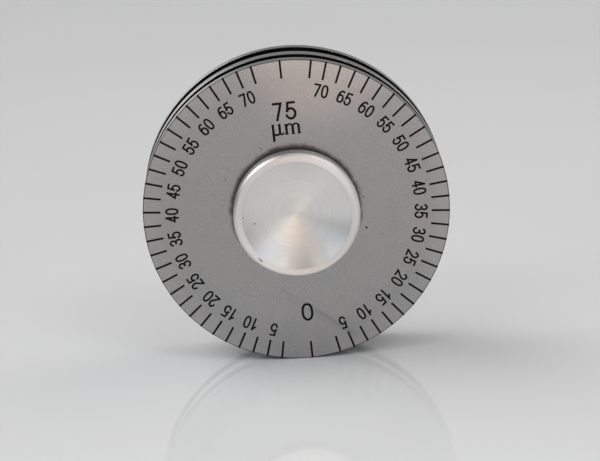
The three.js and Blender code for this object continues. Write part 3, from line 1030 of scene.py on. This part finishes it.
# Windows and pale walls: turn to the right of the front, height and reach in degrees, strength, tint
ROOM_WINDOWS = (
    ("front_left_window", -42, 18, 18.2, 1.51, "#DBEDFF"),
    ("front_window", 16, 0, 16.5, 1.23, "#FFF6EE"),
    ("front_right_window", 41, 26, 17.7, 1.68, "#C5DEFF"),
    ("upper_front_window", 20, 50, 16, 1.09, "#FFFEED"),
    ("left_window", -117, 39, 38.6, 1.96, "#FFFCF2"),
    ("left_wall", -114, 44, 35.9, 1.38, "#E7F1FF"),
    ("right_window", 104, 10, 37.2, 0.9, "#FAFFFE"),
    ("right_wall", 120, 39, 31.9, 1.25, "#FFF8F0"),
    ("left_backdrop", -167, 0, 10, 0.86, "#FFFFFF"),
    ("far_backdrop", 180, 13, 14, 0.07, "#FFFFFF"),
    ("cool_reflector", 0, 10, 6.5, 1.6, "#E2FFFE"),
    ("warm_reflector", 0, 3, 5.5, 1.8, "#FF8A30"),
)

# Softboxes: turn, height, distance in metres, width and height in metres, power in watts and tint
SOFTBOXES = (
    ("left_softbox", -54, 40, 1.4, 0.3, 0.3, 1.79, "#FEFDFF"),
    ("inner_left_softbox", -30, 45, 1.4, 0.3, 0.3, 1.42, "#FFFEFB"),
    ("inner_right_softbox", 30, 45, 1.4, 0.3, 0.3, 1.68, "#FFFEFD"),
    ("right_softbox", 54, 40, 1.4, 0.3, 0.3, 0.92, "#FFEFE0"),
    ("top_softbox", 0, 62, 1.4, 0.4, 0.4, 0.59, "#F3FCFF"),
)


def make_world(studio):
    """A plain room with soft windows and pale walls."""
    world = bpy.data.worlds.new("pale_room")
    world.use_nodes = True
    tree = world.node_tree
    tree.nodes.clear()
    place = add_node(tree, "TexCoord").outputs["Generated"]
    total = add_node(tree, "CombineXYZ", dict(zip("XYZ", studio.room)))
    for name, turn, height, reach, strength, tint in ROOM_WINDOWS:
        near = add_node(tree, "VectorMath", {0: place, 1: direction(turn, height)},
                        operation="DOT_PRODUCT", label=name)
        fade = add_node(tree, "MapRange", {
            "Value": near, "From Min": math.cos(math.radians(reach)), "From Max": 1,
            "To Max": strength}, interpolation_type="SMOOTHSTEP")
        glow = add_node(tree, "VectorMath", {0: linear(tint), "Scale": fade}, operation="SCALE")
        total = add_node(tree, "VectorMath", {0: total, 1: glow})
    back = add_node(tree, "Background", {"Color": total})
    add_node(tree, "OutputWorld", {"Surface": back})
    bpy.context.scene.world = world


class GAUGE_OT_make_studio(Operator):
    """Set up the table, the room, the softboxes and the camera"""

    bl_idname = "gauge.make_studio"
    bl_label = "Make studio"

    def execute(self, context):
        studio = context.scene.gauge_studio
        make_floor(studio)
        make_world(studio)
        for name, *placing, power, tint in SOFTBOXES:
            area_light(name, *placing, power * studio.lamp_level, tint)
        camera_data = bpy.data.cameras.new("camera")
        camera_data.sensor_fit = "HORIZONTAL"
        camera_data.sensor_width = SENSOR_WIDTH
        camera_data.lens = FOCAL_PIXELS * SENSOR_WIDTH / IMAGE_WIDTH
        camera_data.clip_start = 0.01
        camera_data.clip_end = 30
        camera = new_object("camera", camera_data)
        camera.matrix_world = camera_matrix()
        context.scene.camera = camera
        context.scene.view_settings.view_transform = "Standard"
        return {"FINISHED"}


class GAUGE_PT_panel(Panel):
    bl_label = "Wheel gauge"
    bl_idname = "GAUGE_PT_panel"
    bl_space_type = "VIEW_3D"
    bl_region_type = "UI"
    bl_category = "Wheel gauge"

    def draw(self, context):
        layout = self.layout
        scene = context.scene
        for operator, settings in PANEL_ROWS:
            box = layout.box()
            box.operator(operator)
            for group_name in settings:
                group = getattr(scene, group_name)
                for name in group.__annotations__:
                    box.prop(group, name)


PANEL_ROWS = (
    ("gauge.make_wheel", ("gauge_wheel", "gauge_scale")),
    ("gauge.make_grips", ("gauge_grip",)),
    ("gauge.finish_bearings", ("gauge_finishes",)),
    ("gauge.make_studio", ("gauge_studio",)),
)

SETTINGS = {
    "gauge_wheel": GaugeWheelSizes,
    "gauge_scale": GaugeScaleSizes,
    "gauge_grip": GaugeGripSizes,
    "gauge_finishes": GaugeFinishes,
    "gauge_studio": GaugeStudio,
}

CLASSES = (
    *SETTINGS.values(),
    GAUGE_OT_make_wheel,
    GAUGE_OT_make_grips,
    GAUGE_OT_finish_bearings,
    GAUGE_OT_make_studio,
    GAUGE_PT_panel,
)


def register():
    for item in CLASSES:
        bpy.utils.register_class(item)
    for name, group in SETTINGS.items():
        setattr(bpy.types.Scene, name, PointerProperty(type=group))


def unregister():
    for name in SETTINGS:
        delattr(bpy.types.Scene, name)
    for item in reversed(CLASSES):
        bpy.utils.unregister_class(item)


def main():
    register()
    bpy.ops.gauge.make_studio()
    bpy.ops.gauge.make_wheel()
    bpy.ops.gauge.make_grips()
    bpy.ops.gauge.finish_bearings()


if __name__ == "__main__":
    main()
